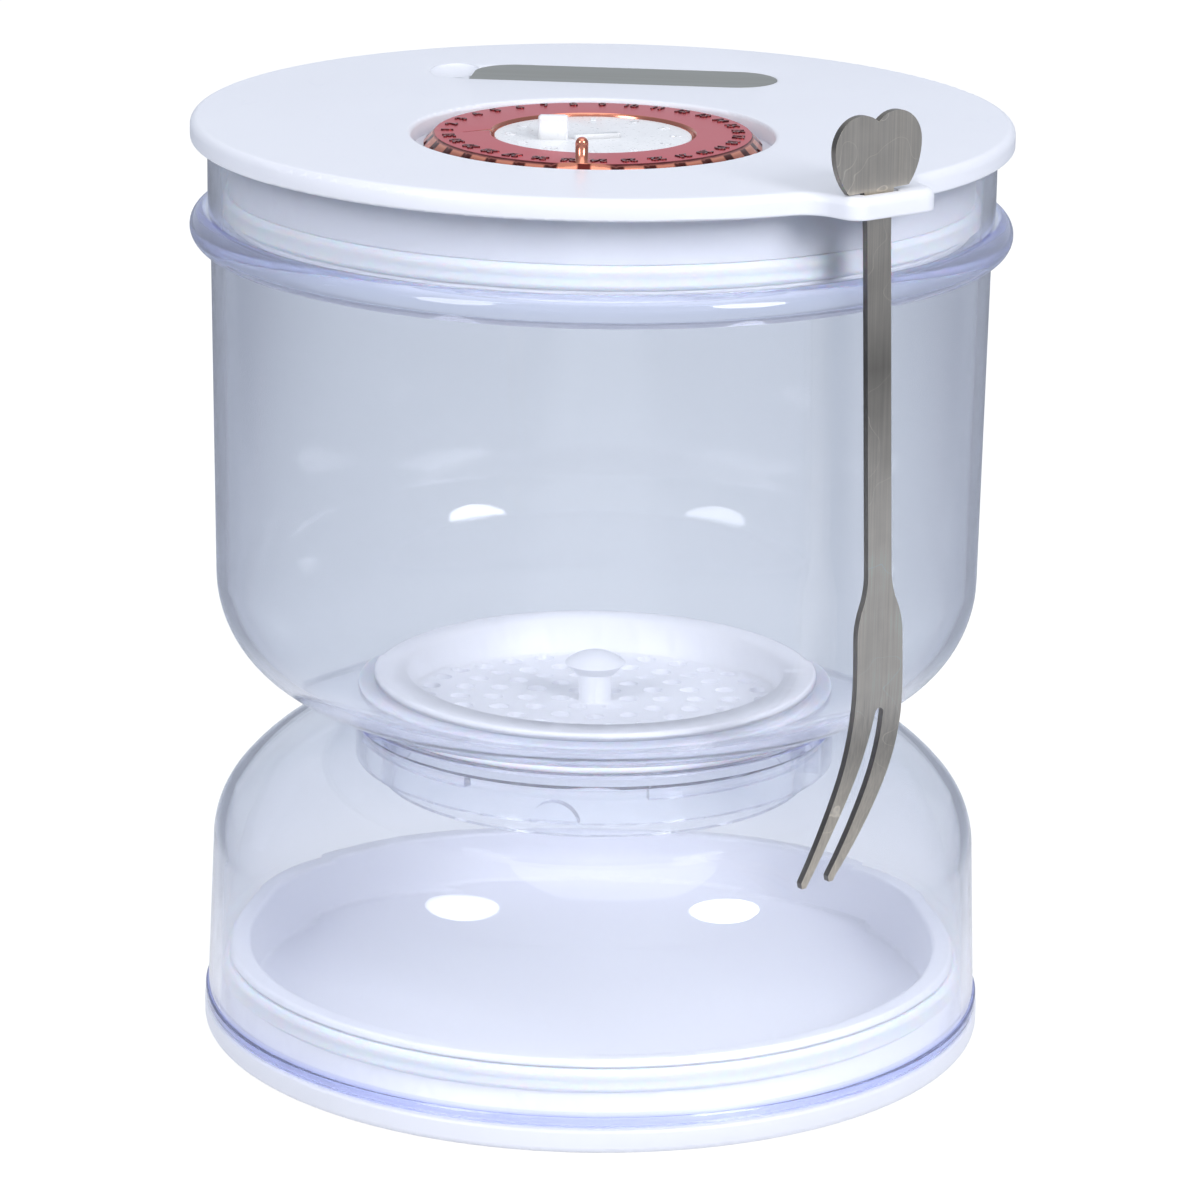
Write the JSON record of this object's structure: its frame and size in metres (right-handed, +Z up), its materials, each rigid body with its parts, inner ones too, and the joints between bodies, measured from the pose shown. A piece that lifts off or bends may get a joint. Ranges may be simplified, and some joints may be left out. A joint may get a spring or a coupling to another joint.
{
  "type": "pickle keeper jar",
  "caption": "Hourglass flip jar: clear upper and lower chambers with a strainer between, white plug lids, a date dial on top and a steel fork hung from a tab.",
  "frame": {"origin": "middle of the underside of the base lid, on the jar's axis", "axes": "+Z up along the jar's axis, -Y towards the front, +X to the right as seen from the front"},
  "size_m": [0.1458, 0.1458, 0.1814],
  "materials": {
    "lid_plastic": "smooth moulded polypropylene, half gloss",
    "dial_plastic": "smooth moulded plastic",
    "strainer_plastic": "smooth moulded polypropylene",
    "silicone": "soft milky silicone",
    "clear_plastic": "clear glossy plastic with a faint blue tint",
    "rose_plating": "rose-gold plating on plastic, polished edge",
    "plate_steel": "fine brushed steel",
    "fork_steel": "satin stamped steel with dark cut edges"
  },
  "bodies": {
    "base": {"base_lid": "lid_plastic", "base_gasket": "silicone"},
    "lower": {"lower_chamber": "clear_plastic"},
    "upper": {"upper_chamber": "clear_plastic", "waist_seal": "silicone"},
    "strainer": {"strainer": "strainer_plastic"},
    "lid": {"top_lid": "lid_plastic", "lid_gasket": "silicone", "lid_plate": "plate_steel"},
    "date_ring": {"date_ring": "rose_plating"},
    "month_disc": {"month_disc": "dial_plastic"},
    "fork": {"fork": "fork_steel"}
  },
  "joints": [
    {"name": "lower_chamber_lift", "type": "slide", "parent": "base", "child": "lower", "axis": [0, 0, 1], "range_m": [0, 0.03]},
    {"name": "upper_chamber_lift", "type": "slide", "parent": "lower", "child": "upper", "axis": [0, 0, 1], "range_m": [0, 0.04]},
    {"name": "strainer_lift", "type": "slide", "parent": "upper", "child": "strainer", "axis": [0, 0, 1], "range_m": [0, 0.08]},
    {"name": "lid_lift", "type": "slide", "parent": "upper", "child": "lid", "axis": [0, 0, 1], "range_m": [0, 0.03]},
    {"name": "date_ring_turn", "type": "hinge", "parent": "lid", "child": "date_ring", "pos_m": [-0.00168, -0.01601, 0.168], "axis": [0, 0, 1], "continuous": true},
    {"name": "month_disc_turn", "type": "hinge", "parent": "lid", "child": "month_disc", "pos_m": [-0.00168, -0.01601, 0.168], "axis": [0, 0, 1], "continuous": true},
    {"name": "fork_lift", "type": "slide", "parent": "lid", "child": "fork", "axis": [-0.0321, -0.0242, 0.9992], "range_m": [0, 0.055]}
  ]
}
